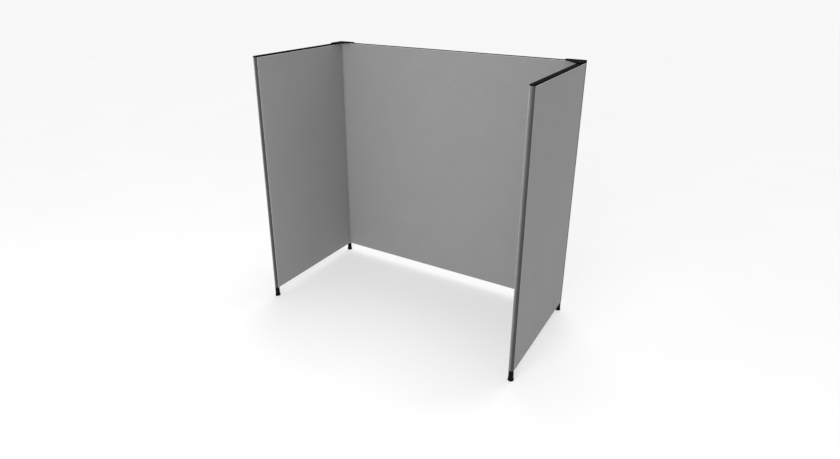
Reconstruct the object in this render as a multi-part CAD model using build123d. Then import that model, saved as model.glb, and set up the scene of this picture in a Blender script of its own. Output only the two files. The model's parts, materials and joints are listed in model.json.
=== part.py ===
"""Free-standing study carrel: a back panel and two wings at right angles, on four levelling feet.

Units are millimetres. +X is the sitter's right, -Y is the open front, +Z is up. The origin is on the
floor, at the centre of the footprint. Every panel is a board between two vertical edge pieces and two
rails, with a fabric-covered pad on each side. The panels slide down onto the T-tongues of the corner
posts, and a corner plate on top locks each corner. Each foot has a stem that turns and screws out.
"""

from build123d import *
import os

# ---- overall sizes ----
overall_width = 1500.0  # outer face of one wing to outer face of the other
overall_depth = 734.0  # tip of the front edge to the outer face of the back
foot_height = 54.0  # floor to the underside of the panels
panel_height = 1335.0  # underside of the panels to the top of the wings' pads

# ---- panel make-up ----
board_thickness = 18.0
pad_thickness = 4.0
rail_height = 20.0
rail_wall = 2.0
edge_channel_depth = 14.0  # channel in a panel's edge that takes a post's tongue
nose_depth = 6.0  # how far the rounded front edge stands out of the pads
front_body_depth = 30.0  # box part of the front edge, between the pads
front_wall = 2.0
front_tongue_width = 6.0
front_tongue_depth = 10.0
groove_clearance = 0.2

# ---- corner post ----
post_corner_radius = 14.0
post_wall = 2.2
tongue_web_width = 3.0
tongue_web_length = 4.5
tongue_head_width = 9.0
tongue_head_length = 3.5
tongue_clearance = 0.3
cove_leg = 8.0  # cove strip in the inner corner
cove_lip = 0.8  # thickness left at the cove's two thin edges

# ---- caps along the top ----
cap_height = 6.0  # wings' cap above the pads
inlay_lip = 1.0  # back panel's strip: the part that shows
clip_leg_depth = 12.0
clip_leg_thickness = 2.0
clip_clearance = 0.2
cap_edge_radius = 1.0

# ---- corner plates and their screws ----
plate_leg = 105.0  # along each panel, from the outer corner
plate_end_width = 29.0
plate_thickness = 5.0
plate_end_radius = 9.0
plate_edge_radius = 0.8
screw_inner_margin = 10.0  # a leg's inner screw to the panel's edge channel
screw_end_margin = 21.0  # a leg's outer screw to the end of the leg
screw_radius = 2.5
screw_head_radius = 5.0
screw_head_depth = 2.8
screw_length = 22.0
screw_key_width = 3.0  # across the flats of the socket
screw_key_depth = 1.8
hole_clearance = 0.25
overcut = 3.0  # length of a through cutter, in thicknesses of what it cuts
anchor_end_gap = 2.8  # to the cap's legs
anchor_height = 12.0
top_plug_height = 16.0

# ---- levelling feet ----
stem_radius = 12.4
stem_gap = 0.3  # stem top to the panel's underside, and stem to base
stem_groove_count = 12
stem_groove_radius = 0.9
base_radius = 14.6
base_top_radius = 13.2
base_height = 13.0
base_rim_height = 3.6
base_soft_radius = 1.5  # round of the base's shoulder and top rim
base_floor_gap = 0.8
sole_radius = 12.0
sole_thickness = 3.0
spigot_radius = 6.0
spigot_depth = 7.0
running_clearance = 0.05
stud_radius = 5.0
stud_in_stem = 30.0
stud_in_plug = 38.0
stud_tip_chamfer = 1.0
plug_height = 46.0
front_plug_wall = 2.75  # plug left between the stud's bore and the front edge's nose
rear_foot_setback = 17.0  # foot axis in front of the outer face of the back

# ---- derived places ----
panel_thickness = board_thickness + 2 * pad_thickness
half_board = board_thickness / 2
half_panel = panel_thickness / 2
z_low = foot_height
z_high = foot_height + panel_height
z_cap = z_high + cap_height
z_board_low = z_low + rail_height
z_board_high = z_high - rail_height
front_plug_start = front_wall + clip_clearance - nose_depth
front_foot_setback = front_plug_start + front_plug_wall + stud_radius + running_clearance
front_overhang = max(0.0, base_radius - nose_depth - front_foot_setback)
rear_overhang = max(0.0, base_radius - rear_foot_setback)
y_back = (overall_depth + front_overhang - rear_overhang) / 2
y_inner = y_back - panel_thickness
wing_length = overall_depth - panel_thickness - nose_depth
back_length = overall_width - 2 * panel_thickness
post_centre_x = overall_width / 2 - half_panel
post_centre_y = y_back - half_panel
tongue_length = tongue_web_length + tongue_head_length
legs_start = plate_leg - panel_thickness
anchor_start = edge_channel_depth + clip_clearance
screw_places = (panel_thickness + edge_channel_depth + screw_inner_margin, plate_leg - screw_end_margin)
back_board_high = z_cap - inlay_lip - rail_height

# A panel is drawn along +X from its rear or left post, with its thickness across Y, and then placed.
WING_PLACE = {
    "left": Pos(-post_centre_x, y_inner) * Rot(0, 0, -90),
    "right": Pos(post_centre_x, y_inner) * Rot(0, 0, -90),
}
BACK_PLACE = Pos(-overall_width / 2 + panel_thickness, post_centre_y)
INNER_SIDE = {"left": 1, "right": -1, "back": -1}  # which side of the panel faces the sitter
MIRROR = {"left": 1, "right": -1}


def rect(x0, x1, y0, y1):
    """A rectangle between two corners."""
    return Pos((x0 + x1) / 2, (y0 + y1) / 2) * Rectangle(abs(x1 - x0), abs(y1 - y0))


def prism(section, z0, z1):
    """A flat section raised from z0 to z1."""
    return Pos(0, 0, z0) * extrude(section, amount=z1 - z0)


def save(name, shape):
    """Writes one node."""
    shape.label = name
    export_step(shape, f"parts/{name}.step")


def edge_channel():
    """Section of the channel that slides over a post's tongue. It opens at x = 0."""
    slot = tongue_web_width / 2 + tongue_clearance
    pocket = tongue_head_width / 2 + tongue_clearance
    head_start = tongue_web_length - tongue_clearance
    section = rect(0, edge_channel_depth, -half_board, half_board)
    section -= rect(0, head_start, -slot, slot)
    return section - rect(head_start, tongue_length + tongue_clearance, -pocket, pocket)


def u_rail(x0, x1, z0, opens_up):
    """A rail with two walls and a web, open upwards or downwards."""
    block = prism(rect(x0, x1, -half_board, half_board), z0, z0 + rail_height)
    inside = half_board - rail_wall
    low = z0 + rail_wall if opens_up else z0
    return block - prism(rect(x0, x1, -inside, inside), low, low + rail_height - rail_wall)


def pad(length, side, z1):
    """The fabric-covered pad on one side of a panel."""
    return prism(rect(0, length, side * half_board, side * half_panel), z_low, z1)


def nose(depth, half_width):
    """Half an ellipse that stands out of x = wing_length."""
    oval = Pos(wing_length, 0) * Ellipse(depth, half_width)
    return oval & rect(wing_length, wing_length + depth, -half_width, half_width)


def front_edge():
    """The front edge: a hollow box between the pads, a rounded nose and a tongue into the board."""
    body_start = wing_length - front_body_depth
    solid_section = rect(body_start, wing_length, -half_board, half_board) + nose(nose_depth, half_panel)
    profile = prism(solid_section - front_cavity(0), z_low, z_high)
    half_tongue = front_tongue_width / 2
    tongue = rect(body_start - front_tongue_depth, body_start, -half_tongue, half_tongue)
    return profile + prism(tongue, z_board_low, z_board_high)


def front_cavity(shrink):
    """Section of the hollow in the front edge, less a gap all round."""
    half = half_board - front_wall - shrink
    start = wing_length - front_body_depth + front_wall + shrink
    end = wing_length + nose_depth - 2 * front_wall - shrink
    return rect(start, end, -half, half)


def wing_board():
    """The wing's board, with the groove for the front edge's tongue."""
    end = wing_length - front_body_depth
    board = prism(rect(edge_channel_depth, end, -half_board, half_board), z_board_low, z_board_high)
    half_groove = front_tongue_width / 2 + groove_clearance
    groove = rect(end - front_tongue_depth - groove_clearance, end, -half_groove, half_groove)
    return board - prism(groove, z_board_low, z_board_high)


def clip_legs(x0, x1, z_top):
    """The two legs of a cap that spring into a rail."""
    outer = half_board - rail_wall - clip_clearance
    inner = outer - clip_leg_thickness
    z0 = z_top - clip_leg_depth
    return [prism(rect(x0, x1, side * inner, side * outer), z0, z_top) for side in (-1, 1)]


def wing_cap(side):
    """The wing's cap, from the nose to the outer face of the back, with its legs and screw holes."""
    outline = rect(-panel_thickness, wing_length, -half_panel, half_panel) + nose(nose_depth, half_panel)
    corner = outline.vertices().sort_by_distance((-panel_thickness, side * half_panel))[0]
    crown = prism(fillet([corner], post_corner_radius), z_high, z_cap)
    top_edges = crown.faces().sort_by(Axis.Z)[-1].edges()
    crown = fillet(top_edges, cap_edge_radius)
    for leg in clip_legs(legs_start, wing_length - front_body_depth, z_high):
        crown += leg
    for along in (half_panel, *screw_places):
        hole = Pos(along - panel_thickness, 0, z_high) * Cylinder(
            screw_radius + hole_clearance, overcut * cap_height
        )
        crown -= hole
    return crown


def back_inlay():
    """The thin strip along the top of the back, with its legs and screw holes."""
    z0 = z_cap - inlay_lip
    strip = prism(rect(0, back_length, -half_panel, half_panel), z0, z_cap)
    for leg in clip_legs(legs_start, back_length - legs_start, z0):
        strip += leg
    for along in screw_places:
        for place in (along - panel_thickness, back_length - along + panel_thickness):
            strip -= Pos(place, 0, z0) * Cylinder(screw_radius + hole_clearance, overcut * inlay_lip)
    return strip


def anchor(z_top):
    """The block inside a rail that a leg's screws bite into. It is drawn along a panel."""
    half = half_board - rail_wall - clip_clearance
    end = legs_start - anchor_end_gap
    block = prism(rect(anchor_start, end, -half, half), z_top - anchor_height, z_top)
    for along in screw_places:
        block -= Pos(along - panel_thickness, 0, z_top) * Cylinder(screw_radius, overcut * anchor_height)
    return block


def post_outline():
    """Section of the left corner post about its own centre, without its tongues."""
    square = Rectangle(panel_thickness, panel_thickness)
    corner = square.vertices().sort_by_distance((-half_panel, half_panel))[0]
    return fillet([corner], post_corner_radius)


def post_cavity(shrink):
    """Section of the hollow in the left corner post, less a gap all round."""
    half = half_panel - post_wall - shrink
    square = Rectangle(2 * half, 2 * half)
    corner = square.vertices().sort_by_distance((-half, half))[0]
    return fillet([corner], post_corner_radius - post_wall - shrink)


def post_tongue():
    """Section of one T-tongue, standing out of the post along +X."""
    web_end = half_panel + tongue_web_length
    web = rect(half_panel, web_end, -tongue_web_width / 2, tongue_web_width / 2)
    head = rect(web_end, web_end + tongue_head_length, -tongue_head_width / 2, tongue_head_width / 2)
    return web + head


def corner_post():
    """The left corner post. The back is along its +X and the wing along its -Y."""
    section = post_outline() - post_cavity(0) + post_tongue() + Rot(0, 0, -90) * post_tongue()
    return prism(section, z_low, z_high)


def corner_cove():
    """The hollow-faced strip in the left inner corner, about the post's centre."""
    arc_radius = cove_leg - cove_lip
    x_inner = half_panel
    y_face = -half_panel
    block = rect(x_inner, x_inner + cove_leg, y_face - cove_leg, y_face)
    hollow = Pos(x_inner + cove_leg, y_face - cove_leg) * Circle(arc_radius)
    return prism(block - hollow, z_low, z_cap - inlay_lip - pad_thickness)


def corner_plate():
    """The left corner plate about the post's centre, with countersunk holes."""
    far = plate_leg - half_panel
    near = plate_end_width - half_panel
    points = [(-half_panel, half_panel), (far, half_panel), (far, -near), (near, -far), (-half_panel, -far)]
    outline = make_face(Polyline(*points, close=True))
    outer_corner = outline.vertices().sort_by_distance(points[0])[0]
    outline = fillet([outer_corner], post_corner_radius)
    ends = [outline.vertices().sort_by_distance(point)[0] for point in points[1:]]
    plate = prism(fillet(ends, plate_end_radius), z_cap, z_cap + plate_thickness)
    plate = fillet(plate.faces().sort_by(Axis.Z)[-1].edges(), plate_edge_radius)
    for x, y in screw_points():
        plate -= Pos(x, y) * screw_body(hole_clearance, z_cap - plate_thickness)
    return plate


def screw_points():
    """Where the left plate's screws are, about the post's centre."""
    along = [place - half_panel for place in screw_places]
    return [(0, 0), *[(a, 0) for a in along], *[(0, -a) for a in along]]


def screw_body(clearance, z0):
    """A countersunk screw with its head flush with the plate, down to z0."""
    z_top = z_cap + plate_thickness
    shank = Pos(0, 0, (z0 + z_top) / 2) * Cylinder(screw_radius + clearance, z_top - z0)
    head = Pos(0, 0, z_top - screw_head_depth / 2) * Cone(
        screw_radius + clearance, screw_head_radius + clearance, screw_head_depth
    )
    return shank + head


def corner_screws():
    """The left plate's screws, as separate solids."""
    z_top = z_cap + plate_thickness
    socket = prism(RegularPolygon(screw_key_width / 2, 6, major_radius=False), z_top - screw_key_depth, z_top)
    screw = screw_body(0, z_top - screw_length) - socket
    return [Pos(x, y) * screw for x, y in screw_points()]


def top_plug():
    """The plug in the top of a post, which the middle screw bites into."""
    block = prism(post_cavity(clip_clearance), z_high - top_plug_height, z_high)
    return block - Pos(0, 0, z_high) * Cylinder(screw_radius, overcut * top_plug_height)


def foot_plug(section):
    """The plug in the bottom of a post or front edge, with the bore that the foot's stud runs in."""
    return prism(section, z_low, z_low + plug_height) - Pos(0, 0, z_low) * Cylinder(
        stud_radius + running_clearance, overcut * plug_height
    )


def foot_stud():
    """The steel stud: fixed in the stem and running in the plug."""
    z0 = foot_height - stud_in_stem
    z1 = foot_height + stud_in_plug
    stud = Pos(0, 0, (z0 + z1) / 2) * Cylinder(stud_radius, z1 - z0)
    return chamfer(stud.faces().sort_by(Axis.Z)[-1].edges(), stud_tip_chamfer)


def foot_stem():
    """The grooved stem, with its spigot below and the stud's socket above."""
    z0 = base_height + stem_gap
    z1 = foot_height - stem_gap
    section = Circle(stem_radius)
    for groove in PolarLocations(stem_radius, stem_groove_count):
        section -= groove * Circle(stem_groove_radius)
    stem = prism(section, z0, z1)
    stem += prism(Circle(spigot_radius), base_height - spigot_depth, z0)
    return stem - prism(Circle(stud_radius), foot_height - stud_in_stem, z1)


def foot_base():
    """The flared base that the stem turns in, drawn as half a section and spun."""
    socket = spigot_radius + running_clearance
    socket_floor = base_height - spigot_depth - stem_gap
    profile = make_face(
        Polyline(
            (0, sole_thickness),
            (sole_radius, sole_thickness),
            (sole_radius, base_floor_gap),
            (base_radius, base_floor_gap),
            (base_radius, base_rim_height),
            (base_top_radius, base_height),
            (socket, base_height),
            (socket, socket_floor),
            (0, socket_floor),
            close=True,
        )
    )
    soft_points = [(base_radius, base_rim_height), (base_top_radius, base_height)]
    soft = [profile.vertices().sort_by_distance(point)[0] for point in soft_points]
    profile = fillet(soft, base_soft_radius)
    return revolve(Rot(90, 0, 0) * profile, Axis.Z)


def foot_sole():
    """The soft disc that stands on the floor."""
    disc = Pos(0, 0, sole_thickness / 2) * Cylinder(sole_radius, sole_thickness)
    return chamfer(disc.faces().sort_by(Axis.Z)[0].edges(), base_floor_gap / 2)


def mirrored(side, shape):
    """A shape drawn for the left side, turned over for the right one."""
    return mirror(shape, about=Plane.YZ) if side == "right" else shape


def at_corner(side, shape):
    """Places a piece drawn about the left post's centre, mirrored for the right one."""
    return Pos(-MIRROR[side] * post_centre_x, post_centre_y) * mirrored(side, shape)


def build_wing(side):
    """Saves the pieces of one wing."""
    place = WING_PLACE[side]
    inner = INNER_SIDE[side]
    rail_end = wing_length - front_body_depth
    save(f"{side}_wing_board", place * wing_board())
    save(f"{side}_wing_inner_pad", place * pad(wing_length, inner, z_high))
    save(f"{side}_wing_outer_pad", place * pad(wing_length, -inner, z_high))
    save(f"{side}_wing_top_rail", place * u_rail(edge_channel_depth, rail_end, z_board_high, True))
    save(f"{side}_wing_bottom_rail", place * u_rail(edge_channel_depth, rail_end, z_low, False))
    save(f"{side}_wing_rear_channel", place * prism(edge_channel(), z_low, z_high))
    save(f"{side}_wing_front_edge", place * front_edge())
    save(f"{side}_wing_top_cap", place * wing_cap(-inner))


def build_back():
    """Saves the pieces of the back panel."""
    z_top = z_cap - inlay_lip
    rail_start = edge_channel_depth
    rail_end = back_length - edge_channel_depth
    board = prism(rect(rail_start, rail_end, -half_board, half_board), z_board_low, back_board_high)
    channel = prism(edge_channel(), z_low, z_top)
    save("back_board", BACK_PLACE * board)
    save("back_inner_pad", BACK_PLACE * pad(back_length, INNER_SIDE["back"], z_top))
    save("back_outer_pad", BACK_PLACE * pad(back_length, -INNER_SIDE["back"], z_top))
    save("back_top_rail", BACK_PLACE * u_rail(rail_start, rail_end, back_board_high, True))
    save("back_bottom_rail", BACK_PLACE * u_rail(rail_start, rail_end, z_low, False))
    save("back_left_channel", BACK_PLACE * channel)
    save("back_right_channel", BACK_PLACE * (Pos(back_length) * mirror(channel, about=Plane.YZ)))
    save("back_top_inlay", BACK_PLACE * back_inlay())


def build_corner(side):
    """Saves the pieces of one rear corner, apart from its foot."""
    save(f"{side}_corner_post", at_corner(side, corner_post()))
    save(f"{side}_corner_cove", at_corner(side, corner_cove()))
    save(f"{side}_corner_plate", at_corner(side, corner_plate()))
    screws = [at_corner(side, screw) for screw in corner_screws()]
    save(f"{side}_corner_screws", Compound(children=screws))
    save(f"{side}_post_top_plug", at_corner(side, top_plug()))
    wing_anchor = Pos(0, -half_panel) * (Rot(0, 0, -90) * anchor(z_high))
    back_anchor = Pos(half_panel, 0) * anchor(z_cap - inlay_lip)
    anchors = [at_corner(side, block) for block in (wing_anchor, back_anchor)]
    save(f"{side}_anchor_blocks", Compound(children=anchors))


def build_foot(side, end):
    """Saves the four pieces of one foot and the plug that it screws into."""
    x = -MIRROR[side] * post_centre_x
    foot_x = wing_length - front_foot_setback
    if end == "front":
        y = y_inner - foot_x
        plug = foot_plug(Pos(-foot_x, 0) * front_cavity(clip_clearance))
        plug = Pos(x, y) * (Rot(0, 0, -90) * plug)
    else:
        y = y_back - rear_foot_setback
        post_offset = Pos(0, post_centre_y - y)
        plug = Pos(x, y) * foot_plug(post_offset * mirrored(side, post_cavity(clip_clearance)))
    save(f"{side}_{end}_foot_plug", plug)
    for piece, make in (("stud", foot_stud), ("stem", foot_stem), ("base", foot_base), ("sole", foot_sole)):
        save(f"{side}_{end}_foot_{piece}", Pos(x, y) * make())


def main():
    os.makedirs("parts", exist_ok=True)
    build_back()
    for side in ("left", "right"):
        build_wing(side)
        build_corner(side)
        for end in ("front", "rear"):
            build_foot(side, end)


main()
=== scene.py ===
import json
import math

import bmesh
import bpy
from mathutils import Matrix, Vector


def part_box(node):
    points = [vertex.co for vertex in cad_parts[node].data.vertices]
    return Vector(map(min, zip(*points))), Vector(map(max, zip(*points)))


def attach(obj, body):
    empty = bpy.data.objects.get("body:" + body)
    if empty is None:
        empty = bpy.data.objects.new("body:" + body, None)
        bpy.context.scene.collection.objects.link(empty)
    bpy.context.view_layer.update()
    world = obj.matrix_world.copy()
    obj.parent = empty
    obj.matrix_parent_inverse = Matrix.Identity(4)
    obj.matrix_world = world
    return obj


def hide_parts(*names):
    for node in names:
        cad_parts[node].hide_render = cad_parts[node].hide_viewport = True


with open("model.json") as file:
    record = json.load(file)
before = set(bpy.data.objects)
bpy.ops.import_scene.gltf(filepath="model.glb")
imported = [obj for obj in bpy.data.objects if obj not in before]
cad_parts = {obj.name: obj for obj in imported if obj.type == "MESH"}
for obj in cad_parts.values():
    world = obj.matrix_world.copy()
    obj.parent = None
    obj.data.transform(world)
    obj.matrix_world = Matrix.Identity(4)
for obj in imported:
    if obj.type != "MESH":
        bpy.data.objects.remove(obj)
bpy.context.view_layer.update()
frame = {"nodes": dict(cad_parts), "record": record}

# Looks of a free-standing study carrel: cloth skins on the three panels, and finishes for every other
# piece. Lengths are metres in the CAD frame. +X is the sitter's right and the open front faces -Y.

nodes = frame["nodes"]
SIDES = ("left", "right")

# ---- cloth skins ----
CLOTH_FOLD_RADIUS = 0.0016  # round of the cloth over a pad's edges
CLOTH_EDGE_STEPS = 4
CLOTH_STEP = 0.03  # spacing of the points across a pad
CLOTH_FULLNESS = 0.0003  # how far the foam under the cloth stands proud in the middle
CLOTH_SLACK = 0.00012  # depth of the faint unevenness of a hand-stretched cloth
CLOTH_SWELL_REACH = 0.10  # how far in from its edges a pad comes to its fullness
CLOTH_SLACK_SCALE = 4.0  # waves of the unevenness to a metre
CLOTH_SEED_STEP = 7.3  # sets the unevenness of one pad apart from the next
PAD_THICKNESS = 0.004
WELD_DISTANCE = 0.00001
SHARP_ANGLE = 1.0  # radians; sharper edges of a skin are rounded
BOARD_SIDE_HEIGHT = 0.001  # edges nearer the board than this stay sharp

# ---- cloth weave ----
YARN_PITCH = 0.0016
YARN_WAVER = 1.5  # how far the yarns wander, in pitches
YARN_LOW = 0.262  # brightness between the yarns
YARN_HIGH = 0.300  # brightness on top of the yarns
YARN_WARMTH = 0.006
WEAVE_DEPTH = 0.00035

# ---- studio ----
FLOOR_REACH = 90.0
FLOOR_GREYS = (0.57, 0.61)
FLOOR_GLOW = 0.43
WORLD_LIGHT = 0.5
BACKDROP = 0.97  # brightness of the empty space behind the floor

# ---- camera ----
EYE = (1.4835, -2.4918, 1.8030)
PAN = math.radians(30.771)
TILT = math.radians(20.995)
ROLL = math.radians(0.185)
LENS = 24.66
SENSOR = 36.0
SHIFT = (0.0054, -0.0456)
NEAR, FAR = 0.05, 300.0


# ---------------------------------------------------------------- node helpers
class Tree:
    """Short calls to add and join nodes in one node tree."""

    def __init__(self, tree):
        self.tree = tree

    def add(self, kind, inputs=None, **settings):
        node = self.tree.nodes.new(kind)
        for name, value in settings.items():
            setattr(node, name, value)
        for key, value in (inputs or {}).items():
            if isinstance(value, bpy.types.NodeSocket):
                self.tree.links.new(value, node.inputs[key])
            else:
                node.inputs[key].default_value = value
        return node

    def math(self, operation, a, b=0.0, clamp=False):
        return self.add("ShaderNodeMath", {0: a, 1: b}, operation=operation, use_clamp=clamp).outputs[0]

    def ramp(self, factor, low, high, start=0.0, end=1.0):
        """Spreads a value between two limits."""
        inputs = {"Value": factor, "From Min": start, "From Max": end, "To Min": low, "To Max": high}
        return self.add("ShaderNodeMapRange", inputs).outputs[0]

    def mix(self, factor, a, b, blend="MIX"):
        node = self.add("ShaderNodeMix", data_type="RGBA", blend_type=blend)
        for key, value in ((0, factor), (6, a), (7, b)):
            if isinstance(value, bpy.types.NodeSocket):
                self.tree.links.new(value, node.inputs[key])
            else:
                node.inputs[key].default_value = value
        return node.outputs[2]


def grey(value, warmth=0.0):
    """A near-neutral colour of that linear brightness."""
    return (value * (1 + warmth), value, value * (1 - warmth), 1.0)


def new_material(name):
    """A node material with its tree helper, its shader and the Object coordinates."""
    material = bpy.data.materials.new(name)
    material.use_nodes = True
    tree = Tree(material.node_tree)
    shader = material.node_tree.nodes["Principled BSDF"]
    place = tree.add("ShaderNodeTexCoord").outputs["Object"]
    return material, tree, shader, place


def noise(tree, place, size, detail=3.0, roughness=0.5, stretch=(1, 1, 1)):
    """Noise whose features are about size across, drawn out along an axis by stretch."""
    scaled = tree.add(
        "ShaderNodeMapping",
        {"Vector": place, "Scale": tuple(1 / (size * s) for s in stretch)},
    ).outputs[0]
    inputs = {"Vector": scaled, "Scale": 1.0, "Detail": detail, "Roughness": roughness}
    return tree.add("ShaderNodeTexNoise", inputs).outputs[0]


def bump(tree, shader, height, depth, strength=1.0):
    inputs = {"Height": height, "Distance": depth, "Strength": strength}
    normal = tree.add("ShaderNodeBump", inputs).outputs[0]
    tree.tree.links.new(normal, shader.inputs["Normal"])


def set_colour(tree, shader, colour, roughness=None):
    tree.tree.links.new(colour, shader.inputs["Base Color"])
    if roughness is not None:
        tree.tree.links.new(roughness, shader.inputs["Roughness"])


# ---------------------------------------------------------------- materials
def panel_cloth(name, along):
    """Plain-woven panel cloth. Yarns run along the world's Z and along the axis called along."""
    material, tree, shader, place = new_material(name)
    axes = tree.add("ShaderNodeSeparateXYZ", {0: place}).outputs
    across = axes[{"x": 0, "y": 1}[along]]
    turn = 2 * math.pi / YARN_PITCH
    waver = noise(tree, place, size=0.05, detail=2.0)
    shift = tree.math("MULTIPLY", waver, YARN_PITCH * YARN_WAVER)
    warp = tree.math("SINE", tree.math("MULTIPLY", tree.math("ADD", across, shift), turn))
    weft = tree.math("SINE", tree.math("MULTIPLY", tree.math("ADD", axes[2], shift), turn))
    crossing = tree.math("MULTIPLY", warp, weft)
    over = tree.math("ADD", tree.math("MULTIPLY", crossing, 0.5), 0.5)
    fuzz = noise(tree, place, size=0.0022, detail=4.0, roughness=0.65)
    long_way = (6, 6, 1) if along == "x" else (1, 6, 1)
    slub = noise(tree, place, size=0.004, detail=3.0, roughness=0.6, stretch=long_way)
    mottle = noise(tree, place, size=0.16, detail=3.0)
    tone = tree.ramp(mottle, 0.985, 1.015, start=0.3, end=0.7)
    tone = tree.math("MULTIPLY", tone, tree.ramp(fuzz, 0.86, 1.14, start=0.25, end=0.75))
    tone = tree.math("MULTIPLY", tone, tree.ramp(slub, 0.97, 1.03, start=0.3, end=0.7))
    tone = tree.math("MULTIPLY", tone, tree.ramp(over, 0.90, 1.06))
    base = tree.mix(over, grey(YARN_LOW), grey(YARN_HIGH, YARN_WARMTH))
    shade = tree.add("ShaderNodeCombineXYZ", {0: tone, 1: tone, 2: tone}).outputs[0]
    colour = tree.mix(1.0, base, shade, "MULTIPLY")
    set_colour(tree, shader, colour, tree.ramp(fuzz, 0.86, 0.98))
    shader.inputs["Sheen Weight"].default_value = 0.12
    shader.inputs["Sheen Roughness"].default_value = 0.5
    shader.inputs["Specular IOR Level"].default_value = 0.12
    height = tree.math("ADD", tree.math("MULTIPLY", over, 0.7), tree.math("MULTIPLY", fuzz, 0.6))
    bump(tree, shader, height, depth=WEAVE_DEPTH, strength=0.55)
    return material


def painted_metal(name, value, roughness, grain=0.0004, metallic=0.0, wear=0.25, gloss=0.3):
    """Powder-coated metal: fine orange peel, faint cloudiness and rubbed edges."""
    material, tree, shader, place = new_material(name)
    peel = noise(tree, place, size=grain, detail=2.0)
    cloud = noise(tree, place, size=0.09, detail=3.0)
    rub = noise(tree, place, size=0.012, detail=4.0, roughness=0.7)
    edge = tree.add("ShaderNodeNewGeometry").outputs["Pointiness"]
    at_edges = tree.ramp(edge, 0.0, 1.0, start=0.53, end=0.60)
    in_patches = tree.ramp(rub, 0.0, wear, start=0.45, end=0.7)
    worn = tree.math("MULTIPLY", at_edges, in_patches)
    cloudy = tree.ramp(cloud, 0.0, 1.0, start=0.3, end=0.7)
    tone = tree.mix(cloudy, grey(value * 0.93), grey(value * 1.07))
    colour = tree.mix(worn, tone, grey(min(1.0, value * 1.9 + 0.05)))
    dullness = tree.ramp(cloud, roughness * 0.88, roughness * 1.12, start=0.3, end=0.7)
    set_colour(tree, shader, colour, dullness)
    shader.inputs["Metallic"].default_value = metallic
    shader.inputs["Specular IOR Level"].default_value = gloss
    bump(tree, shader, peel, depth=0.00006, strength=0.35)
    return material


def moulded_plastic(name, value, roughness, texture=0.0009, gloss=0.004):
    """Moulded plastic with a fine spark-eroded texture, slight scuffs and paler rubbed edges."""
    material, tree, shader, place = new_material(name)
    skin = noise(tree, place, size=texture, detail=3.0, roughness=0.6)
    scuff = noise(tree, place, size=0.02, detail=5.0, roughness=0.7, stretch=(1, 1, 0.35))
    edge = tree.add("ShaderNodeNewGeometry").outputs["Pointiness"]
    rubbed = tree.ramp(edge, 0.0, 0.3, start=0.53, end=0.62)
    scuffed = tree.ramp(scuff, 0.0, 0.18, start=0.62, end=0.8)
    marks = tree.math("ADD", rubbed, scuffed)
    colour = tree.mix(marks, grey(value), grey(value * 2.2 + 0.004))
    dullness = tree.ramp(scuff, roughness * 0.9, roughness * 1.15, start=0.3, end=0.75)
    set_colour(tree, shader, colour, dullness)
    shader.inputs["Specular IOR Level"].default_value = gloss
    bump(tree, shader, skin, depth=0.00008, strength=0.4)
    return material


def drawn_metal(name, value, roughness, along=(1, 1, 40)):
    """Bare metal with fine lines along the way it was drawn."""
    material, tree, shader, place = new_material(name)
    lines = noise(tree, place, size=0.0005, detail=3.0, roughness=0.6, stretch=along)
    tarnish = noise(tree, place, size=0.015, detail=4.0, roughness=0.6)
    tarnished = tree.ramp(tarnish, 0.0, 1.0, start=0.35, end=0.75)
    colour = tree.mix(tarnished, grey(value * 1.05), grey(value * 0.8, 0.01))
    dullness = tree.ramp(lines, roughness * 0.8, roughness * 1.3, start=0.3, end=0.7)
    set_colour(tree, shader, colour, dullness)
    shader.inputs["Metallic"].default_value = 1.0
    bump(tree, shader, lines, depth=0.00004, strength=0.3)
    return material


def chip_board(name):
    """Particle board: pale flakes in a brown binder."""
    material, tree, shader, place = new_material(name)
    cells = tree.add("ShaderNodeTexVoronoi", {"Vector": place, "Scale": 420.0}).outputs
    flake = noise(tree, place, size=0.003, detail=4.0, roughness=0.6, stretch=(1, 1, 2.5))
    pale = tree.mix(flake, (0.42, 0.29, 0.16, 1), (0.62, 0.47, 0.30, 1))
    between = tree.ramp(cells[0], 0.0, 0.5, start=0.2, end=0.7)
    set_colour(tree, shader, tree.mix(between, pale, (0.25, 0.16, 0.08, 1)))
    shader.inputs["Roughness"].default_value = 0.85
    bump(tree, shader, flake, depth=0.0003, strength=0.5)
    return material


def soft_rubber(name):
    """Dull black rubber with a dusty bloom."""
    material, tree, shader, place = new_material(name)
    bloom = noise(tree, place, size=0.004, detail=4.0, roughness=0.65)
    set_colour(tree, shader, tree.mix(bloom, grey(0.012), grey(0.035)), tree.ramp(bloom, 0.75, 0.95))
    bump(tree, shader, bloom, depth=0.0001, strength=0.4)
    return material


FINISHES = {
    "core_board": chip_board("chip_board"),
    "rail_metal": painted_metal("rail_paint", 0.17, 0.5),
    "edge_metal": painted_metal("edge_satin", 0.048, 0.42, wear=0.05, gloss=0.15),
    "cap_plastic": moulded_plastic("cap_black", 0.003, 0.55),
    "plate_metal": painted_metal("plate_black", 0.003, 0.55, wear=0.003, gloss=0.004),
    "screw_steel": painted_metal("screw_black", 0.010, 0.4, wear=0.05, gloss=0.03),
    "plug_plastic": moulded_plastic("plug_nylon", 0.03, 0.5, gloss=0.3),
    "anchor_metal": drawn_metal("anchor_bare", 0.6, 0.35),
    "stud_steel": drawn_metal("stud_zinc", 0.55, 0.3, (1, 1, 4)),
    "foot_plastic": moulded_plastic("foot_black", 0.005, 0.45, gloss=0.02),
    "sole_rubber": soft_rubber("sole_rubber"),
}
# The coves are edge metal, but take a paler copy of its finish: a painted highlight for the light the rounded
# inner corner catches.
COVE_PAINTED_HIGHLIGHT = painted_metal("cove_painted_highlight", 0.20, 0.5, wear=0.05)
CLOTHS = {"x": panel_cloth("cloth_back", "x"), "y": panel_cloth("cloth_wings", "y")}


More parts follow.
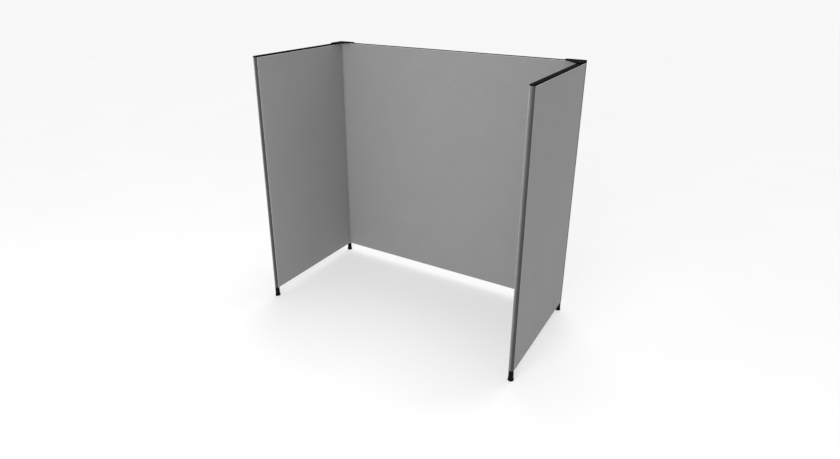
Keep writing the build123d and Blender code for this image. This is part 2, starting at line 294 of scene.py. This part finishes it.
def finish_nodes():
    """Gives every CAD node its finish by its slot in the record. The coves instead get a paler copy of the edge
    finish, a painted highlight.
    """
    for part in frame["record"]["subparts"]:
        material = COVE_PAINTED_HIGHLIGHT if part["node"].endswith("cove") else FINISHES.get(part["material_slot"])
        if material is not None:
            mesh = nodes[part["node"]].data
            mesh.materials.clear()
            mesh.materials.append(material)


# ---------------------------------------------------------------- cloth skins
def skin_tree(material):
    """Geometry nodes for one cloth-covered pad, lying in XY with its face up. Its edges are rounded afterwards,
    by round_edges.
    """
    group = bpy.data.node_groups.new("cloth_skin", "GeometryNodeTree")
    sockets = {}
    for name, value in (
        ("Width", 1.0),
        ("Height", 1.0),
        ("Thickness", PAD_THICKNESS),
        ("Fullness", CLOTH_FULLNESS),
        ("Slack", CLOTH_SLACK),
    ):
        item = group.interface.new_socket(name, in_out="INPUT", socket_type="NodeSocketFloat")
        item.default_value = value
        sockets[name] = item.identifier
    for name in ("Width Points", "Height Points", "Seed"):
        item = group.interface.new_socket(name, in_out="INPUT", socket_type="NodeSocketInt")
        item.default_value = 10
        sockets[name] = item.identifier
    group.interface.new_socket("Skin", in_out="OUTPUT", socket_type="NodeSocketGeometry")
    tree = Tree(group)
    given = tree.add("NodeGroupInput").outputs
    grid = tree.add(
        "GeometryNodeMeshGrid",
        {
            "Size X": given["Width"],
            "Size Y": given["Height"],
            "Vertices X": given["Width Points"],
            "Vertices Y": given["Height Points"],
        },
    ).outputs["Mesh"]
    slab = tree.add(
        "GeometryNodeExtrudeMesh",
        {
            "Mesh": grid,
            "Offset": tree.add("ShaderNodeCombineXYZ", {2: 1.0}).outputs[0],
            "Offset Scale": given["Thickness"],
            "Individual": False,
        },
    )
    bottom = tree.add("GeometryNodeFlipFaces", {"Mesh": grid}).outputs[0]
    joined = tree.add("GeometryNodeJoinGeometry")
    for part in (slab.outputs["Mesh"], bottom):
        tree.tree.links.new(part, joined.inputs[0])
    closed = tree.add("GeometryNodeMergeByDistance", {"Geometry": joined.outputs[0], "Distance": WELD_DISTANCE})
    point = tree.add("GeometryNodeInputPosition").outputs[0]
    xyz = tree.add("ShaderNodeSeparateXYZ", {0: point}).outputs
    from_edge = []
    for axis, size in ((0, "Width"), (1, "Height")):
        half = tree.math("MULTIPLY", given[size], 0.5)
        from_edge.append(tree.math("SUBTRACT", half, tree.math("ABSOLUTE", xyz[axis])))
    inset = tree.math("MINIMUM", from_edge[0], from_edge[1])
    swell = tree.add(
        "ShaderNodeMapRange", {"Value": inset, "From Max": CLOTH_SWELL_REACH}, interpolation_type="SMOOTHSTEP"
    ).outputs[0]
    offset = tree.math("MULTIPLY", given["Seed"], CLOTH_SEED_STEP)
    seeded = tree.add("ShaderNodeCombineXYZ", {2: offset}).outputs[0]
    moved = tree.add("ShaderNodeVectorMath", {0: point, 1: seeded}, operation="ADD").outputs[0]
    waves = {"Vector": moved, "Scale": CLOTH_SLACK_SCALE, "Detail": 1.0}
    uneven = tree.add("ShaderNodeTexNoise", waves).outputs[0]
    centred = tree.math("SUBTRACT", uneven, 0.5)
    rise = tree.math("ADD", given["Fullness"], tree.math("MULTIPLY", centred, given["Slack"]))
    rise = tree.math("MULTIPLY", rise, swell)
    on_top = tree.math("GREATER_THAN", xyz[2], tree.math("MULTIPLY", given["Thickness"], 0.5))
    lift = tree.add("ShaderNodeCombineXYZ", {2: tree.math("MULTIPLY", rise, on_top)}).outputs[0]
    raised = tree.add("GeometryNodeSetPosition", {"Geometry": closed.outputs[0], "Offset": lift})
    whole = tree.add("GeometryNodeRealizeInstances", {"Geometry": raised.outputs[0]})
    coated = tree.add("GeometryNodeSetMaterial", {"Geometry": whole.outputs[0], "Material": material})
    out = tree.add("NodeGroupOutput")
    tree.tree.links.new(coated.outputs[0], out.inputs[0])
    return group, sockets


SKIN_TREES = {axis: skin_tree(cloth) for axis, cloth in CLOTHS.items()}


def plain_mesh(maker, name):
    """Turns the result of an object's modifiers into a plain mesh object."""
    bpy.context.view_layer.update()
    evaluated = maker.evaluated_get(bpy.context.evaluated_depsgraph_get())
    mesh = bpy.data.meshes.new_from_object(evaluated)
    bpy.data.objects.remove(maker)
    piece = bpy.data.objects.new(name, mesh)
    bpy.context.scene.collection.objects.link(piece)
    return piece


def cloth_skin(node, axis, outward, seed):
    """A cloth skin in the place of a CAD pad. It lies along axis, and its face looks outward."""
    low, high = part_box(node)
    size = high - low
    centre = (low + high) / 2
    width, depth = (size.x, size.y) if axis == "x" else (size.y, size.x)
    height = size.z
    maker = bpy.data.objects.new("maker", bpy.data.meshes.new("maker"))
    bpy.context.scene.collection.objects.link(maker)
    modifier = maker.modifiers.new("skin", "NODES")
    group, sockets = SKIN_TREES[axis]
    modifier.node_group = group
    values = {
        "Width": width,
        "Height": height,
        "Thickness": depth,
        "Width Points": int(width / CLOTH_STEP) + 2,
        "Height Points": int(height / CLOTH_STEP) + 2,
        "Seed": seed,
        "Fullness": CLOTH_FULLNESS,
        "Slack": CLOTH_SLACK,
    }
    for name, value in values.items():
        modifier[sockets[name]] = value
    skin = plain_mesh(maker, node.replace("_pad", "_cloth"))
    round_edges(skin.data)
    stand_up(skin.data, axis, outward, centre, depth)
    for face in skin.data.polygons:
        face.use_smooth = True
    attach(skin, "carrel")
    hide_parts(node)
    return skin


def round_edges(mesh):
    """Rounds the pad's face edges and upright corners, where the cloth turns over them."""
    work = bmesh.new()
    work.from_mesh(mesh)
    sharp = [
        edge
        for edge in work.edges
        if len(edge.link_faces) == 2
        and edge.calc_face_angle() > SHARP_ANGLE
        and max(v.co.z for v in edge.verts) > BOARD_SIDE_HEIGHT
    ]
    bmesh.ops.bevel(
        work, geom=sharp, offset=CLOTH_FOLD_RADIUS, segments=CLOTH_EDGE_STEPS, profile=0.5, affect="EDGES"
    )
    work.to_mesh(mesh)
    work.free()


def stand_up(mesh, axis, outward, centre, depth):
    """Stands a flat skin up in its panel, with its back on the board."""
    for vertex in mesh.vertices:
        along, up, out = vertex.co.x, vertex.co.y, (vertex.co.z - depth / 2) * outward
        flat = (along, out) if axis == "x" else (out, along)
        vertex.co = centre + Vector((flat[0], flat[1], up))
    mesh.update()
    work = bmesh.new()
    work.from_mesh(mesh)
    bmesh.ops.recalc_face_normals(work, faces=work.faces)
    work.to_mesh(mesh)
    work.free()


def make_cloth():
    """Covers both faces of all three panels."""
    cloth_skin("back_inner_pad", "x", -1, 1)
    cloth_skin("back_outer_pad", "x", 1, 2)
    for number, side in enumerate(SIDES):
        inner = 1 if side == "left" else -1
        cloth_skin(f"{side}_wing_inner_pad", "y", inner, 3 + 2 * number)
        cloth_skin(f"{side}_wing_outer_pad", "y", -inner, 4 + 2 * number)


# ---------------------------------------------------------------- studio
def make_floor():
    """A wide pale floor. It glows a little, so that it stays pale far from the lights."""
    mesh = bpy.data.meshes.new("floor")
    reach = FLOOR_REACH
    corners = [(-reach, -reach, 0), (reach, -reach, 0), (reach, reach, 0), (-reach, reach, 0)]
    mesh.from_pydata(corners, [], [(0, 1, 2, 3)])
    floor = bpy.data.objects.new("floor", mesh)
    bpy.context.scene.collection.objects.link(floor)
    material, tree, shader, place = new_material("pale_floor")
    grain = noise(tree, place, size=0.6, detail=2.0)
    set_colour(tree, shader, tree.mix(grain, *(grey(value) for value in FLOOR_GREYS)))
    shader.inputs["Roughness"].default_value = 0.95
    shader.inputs["Specular IOR Level"].default_value = 0.0
    shader.inputs["Emission Color"].default_value = grey(1.0)
    shader.inputs["Emission Strength"].default_value = FLOOR_GLOW
    mesh.materials.append(material)


def soft_sun(name, azimuth, elevation, strength, spread):
    """A sun that shines from that side. Azimuth 0 is straight in front, and 90 is the sitter's right."""
    light = bpy.data.lights.new(name, "SUN")
    light.energy = strength
    light.angle = math.radians(spread)
    lamp = bpy.data.objects.new(name, light)
    a, e = math.radians(azimuth), math.radians(elevation)
    towards = Vector((math.sin(a) * math.cos(e), -math.cos(a) * math.cos(e), math.sin(e)))
    lamp.rotation_euler = towards.to_track_quat("Z", "Y").to_euler()
    bpy.context.scene.collection.objects.link(lamp)
    return lamp


def soft_box(name, place, target, size, watts):
    """A square lamp of that size that faces the target."""
    light = bpy.data.lights.new(name, "AREA")
    light.shape = "SQUARE"
    light.size = size
    light.energy = watts
    lamp = bpy.data.objects.new(name, light)
    lamp.location = place
    lamp.rotation_euler = (Vector(place) - Vector(target)).to_track_quat("Z", "Y").to_euler()
    bpy.context.scene.collection.objects.link(lamp)


def make_light():
    """Even light from all round, a soft box in front, a high sun behind, and a rim lamp on the front edges."""
    world = bpy.data.worlds.new("studio")
    world.use_nodes = True
    background = world.node_tree.nodes["Background"]
    background.inputs["Color"].default_value = grey(1.0)
    backdrop = Tree(world.node_tree)
    seen = backdrop.add("ShaderNodeLightPath").outputs["Is Camera Ray"]
    strength = backdrop.ramp(seen, WORLD_LIGHT, BACKDROP)
    world.node_tree.links.new(strength, background.inputs["Strength"])
    bpy.context.scene.world = world
    soft_box("front_box", place=(0.35, -3.3, 1.5), target=(-0.15, 0.35, 0.75), size=1.6, watts=65)
    soft_sun("high_sun", azimuth=186, elevation=50, strength=1.45, spread=60)
    rim = soft_sun("rim_sun", azimuth=-82, elevation=15, strength=24.0, spread=8)
    edges = bpy.data.collections.new("front_edges")
    for side in SIDES:
        edges.objects.link(nodes[f"{side}_wing_front_edge"])
    rim.light_linking.receiver_collection = edges


def make_camera():
    """The camera stands to the sitter's right of the open front and looks down into the bay."""
    camera = bpy.data.cameras.new("camera")
    camera.sensor_width = SENSOR
    camera.lens = LENS
    camera.shift_x, camera.shift_y = SHIFT
    camera.clip_start, camera.clip_end = NEAR, FAR
    eye = bpy.data.objects.new("camera", camera)
    eye.location = EYE
    turn = Matrix.Rotation(PAN, 3, "Z") @ Matrix.Rotation(math.pi / 2 - TILT, 3, "X")
    eye.rotation_euler = (turn @ Matrix.Rotation(ROLL, 3, "Z")).to_euler()
    bpy.context.scene.collection.objects.link(eye)
    bpy.context.scene.camera = eye


scene = bpy.context.scene
scene.view_settings.view_transform = "Standard"
finish_nodes()
make_cloth()
make_floor()
make_light()
make_camera()
